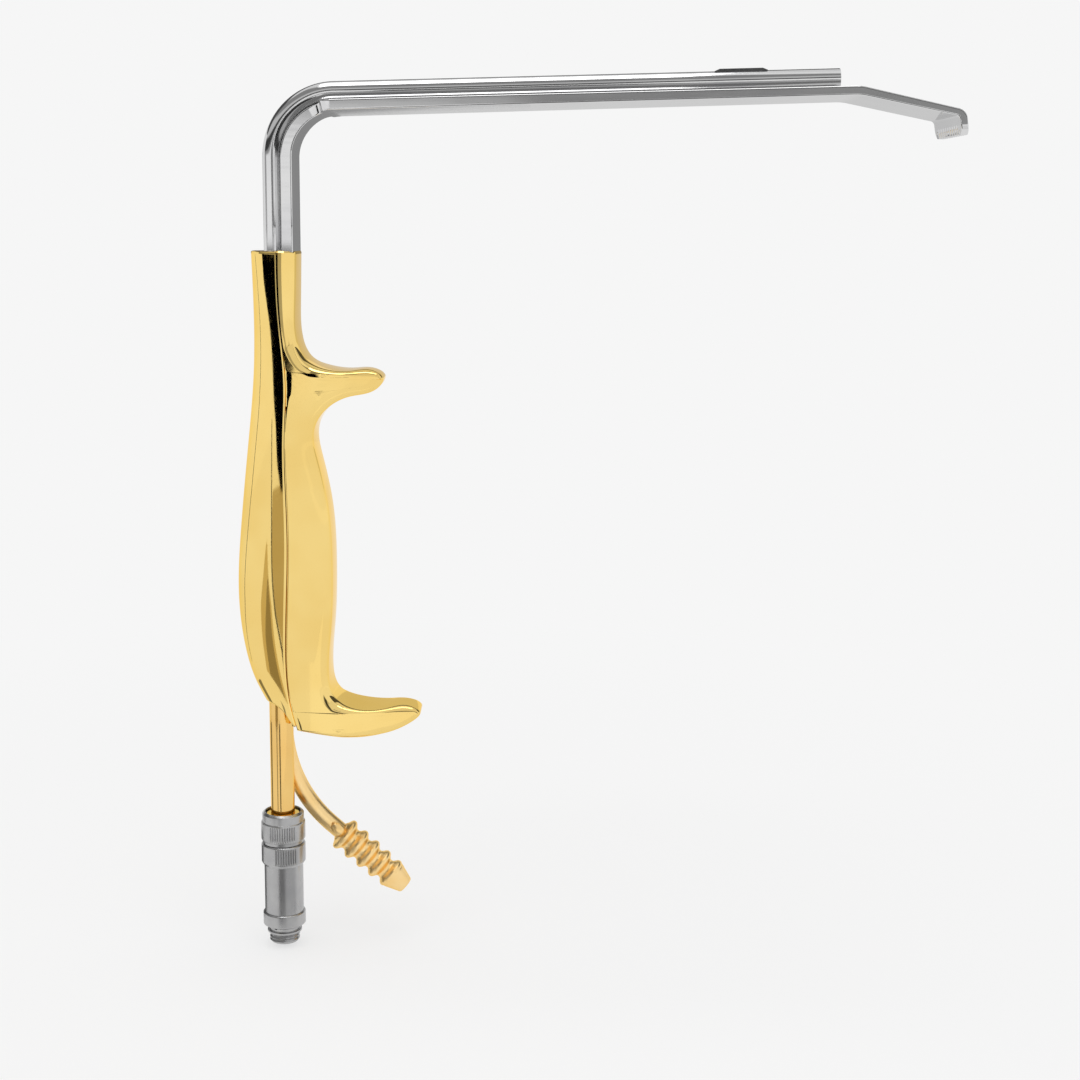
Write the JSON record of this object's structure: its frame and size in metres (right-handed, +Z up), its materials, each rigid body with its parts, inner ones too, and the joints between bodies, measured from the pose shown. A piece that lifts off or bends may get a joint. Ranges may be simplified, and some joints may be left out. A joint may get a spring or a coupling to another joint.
{
  "type": "fiber optic retractor",
  "caption": "Hand-held tissue retractor with a long toothed blade at a right angle to a gold hooked handle, a light guide tube and a suction tube on the blade.",
  "frame": {"origin": "centre of the light inlet face at the connector's lower end", "axes": "+X along the blade from the stem to the tip, +Z up along the light axis, +Y to the side of the suction tube"},
  "size_m": [0.1977, 0.0321, 0.2501],
  "materials": {
    "steel": "bright satin to mirror steel",
    "gold": "mirror gold plating",
    "dark_ring": "dark spring steel",
    "seal": "black rubber seal",
    "fibre": "glass fibre bundle",
    "rod": "clear glass rod"
  },
  "bodies": {
    "instrument": {"light_guide_tube": "steel", "tube_saddle": "steel", "light_post": "gold", "threaded_nipple": "gold", "seal_ring": "seal", "bundle_ferrule": "steel", "fibre_bundle": "fibre", "tip_ferrule": "steel", "suction_tube": "steel", "joining_sleeve": "steel", "suction_branch": "gold", "hose_barb": "gold", "tang_screws": "steel", "blade": "steel", "front_grip": "gold", "back_cover": "gold", "handle_cap": "gold", "lower_plug": "steel"},
    "adapter": {"adapter_barrel": "steel", "grip_ring": "steel", "retaining_ring": "dark_ring", "lower_collar": "steel", "threaded_end": "steel", "set_screw": "dark_ring", "rod_carrier": "steel", "light_rod": "rod"},
    "nut": {"union_nut": "steel"}
  },
  "joints": [
    {"name": "adapter_travel", "type": "slide", "parent": "instrument", "child": "adapter", "axis": [0, 0, -1], "range_m": [0, 0.004]},
    {"name": "union_nut_turn", "type": "hinge", "parent": "adapter", "child": "nut", "pos_m": [0, 0, 0.035], "axis": [0, 0, -1], "range_deg": [0, 1440]}
  ],
  "couplings": [
    {"joint": "union_nut_turn", "follows": "adapter_travel", "rad_per_m": 6283.2}
  ]
}
